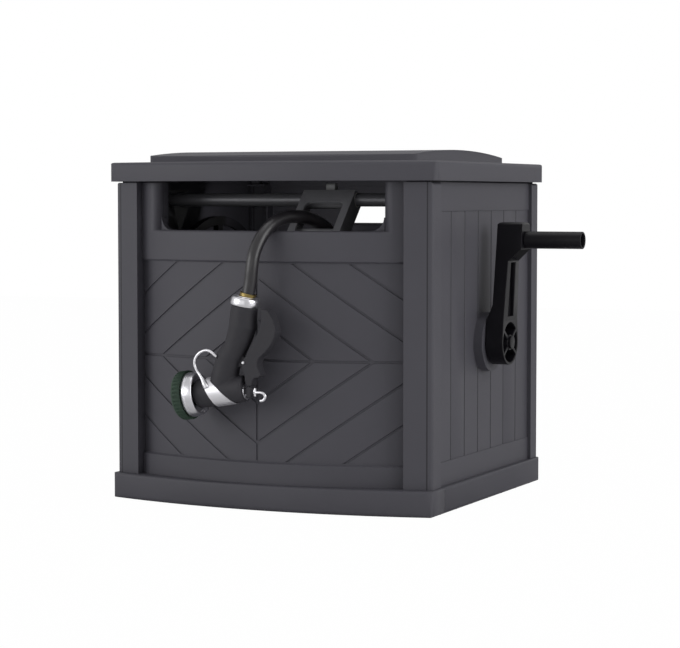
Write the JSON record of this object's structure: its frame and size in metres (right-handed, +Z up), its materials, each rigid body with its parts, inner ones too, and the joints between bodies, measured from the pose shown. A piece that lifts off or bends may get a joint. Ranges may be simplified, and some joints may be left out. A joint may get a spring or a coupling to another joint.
{
  "type": "hose reel cabinet",
  "caption": "Bowed garden hose reel cabinet with a hinged lid, side crank, sliding hose guide, wound hose and a pistol nozzle hanging on it.",
  "frame": {"origin": "on the floor under the middle of the lid, at the base's middle foot", "axes": "+X towards the crank, along the front; +Y from the front to the back; +Z up"},
  "size_m": [0.7854, 0.6389, 0.591],
  "materials": {
    "charcoal_plastic": "moulded, fine matte texture",
    "dark_plastic": "matte",
    "black_plastic": "satin",
    "grey_plastic": "matte",
    "bush_plastic": "natural, smooth",
    "rod_steel": "dark painted tube",
    "bright_steel": "zinc plated",
    "brass": "turned",
    "chrome": "polished",
    "seal_rubber": "smooth",
    "hose_rubber": "smooth, slightly glossy",
    "grip_rubber": "soft coated, matte",
    "green_rubber": "matte"
  },
  "bodies": {
    "cabinet": {"base_tray": "charcoal_plastic", "front_panel": "charcoal_plastic", "back_panel": "charcoal_plastic", "side_panel_left": "charcoal_plastic", "side_panel_right": "charcoal_plastic", "rod_bracket_left": "dark_plastic", "rod_bracket_right": "dark_plastic", "guide_rod_upper": "rod_steel", "guide_rod_lower": "rod_steel", "axle_bush": "bush_plastic", "water_inlet": "brass", "inlet_nut": "brass", "inlet_o_rings": "seal_rubber", "hinge_pins": "bright_steel", "panel_screws": "bright_steel"},
    "lid": {"lid_shell": "charcoal_plastic"},
    "reel": {"drum_barrel": "dark_plastic", "reel_flange_left": "black_plastic", "reel_flange_right": "black_plastic", "crank_shaft": "bright_steel", "feed_elbow": "dark_plastic", "hose_coupling": "brass", "hose_winding": "hose_rubber", "crank_arm": "black_plastic", "crank_screw": "bright_steel", "grip_spindle": "bright_steel"},
    "grip": {"crank_grip": "black_plastic"},
    "guide": {"guide_frame": "dark_plastic", "guide_bushes": "bush_plastic", "guide_tab": "grey_plastic", "free_hose": "hose_rubber", "hose_ferrule": "brass", "swivel_collar": "chrome", "nozzle_grip": "grip_rubber", "nozzle_barrel": "grip_rubber", "nozzle_strap": "chrome", "nozzle_hook": "chrome", "trigger_pin": "chrome", "packing_nut": "chrome"},
    "trigger": {"nozzle_trigger": "grip_rubber"},
    "nozzle_head": {"nozzle_bezel": "chrome", "nozzle_bumper": "green_rubber", "spray_face": "dark_plastic"},
    "trigger_lock": {"trigger_clip": "chrome"}
  },
  "joints": [
    {"name": "lid_hinge", "type": "hinge", "parent": "cabinet", "child": "lid", "pos_m": [0, 0.2599, 0.545], "axis": [-1, 0, 0], "range_deg": [0, 100]},
    {"name": "reel_spin", "type": "hinge", "parent": "cabinet", "child": "reel", "pos_m": [0, 0.002, 0.267], "axis": [1, 0, 0], "continuous": true},
    {"name": "grip_spin", "type": "hinge", "parent": "reel", "child": "grip", "pos_m": [0.3574, 0.002, 0.44], "axis": [1, 0, 0], "continuous": true},
    {"name": "guide_slide", "type": "slide", "parent": "cabinet", "child": "guide", "axis": [1, 0, 0], "range_m": [-0.17, 0.085]},
    {"name": "trigger_squeeze", "type": "hinge", "parent": "guide", "child": "trigger", "pos_m": [0.001, -0.332, 0.246], "axis": [0, -1, 0], "range_deg": [0, 4.8], "stiffness_Nm_per_rad": 2, "springref_deg": -4.58},
    {"name": "head_twist", "type": "hinge", "parent": "guide", "child": "nozzle_head", "pos_m": [-0.0752, -0.332, 0.1932], "axis": [-0.9903, 0, -0.1392], "continuous": true},
    {"name": "lock_swing", "type": "hinge", "parent": "guide", "child": "trigger_lock", "pos_m": [0.024, -0.341, 0.2], "axis": [0, 1, 0], "range_deg": [0, 25]}
  ]
}
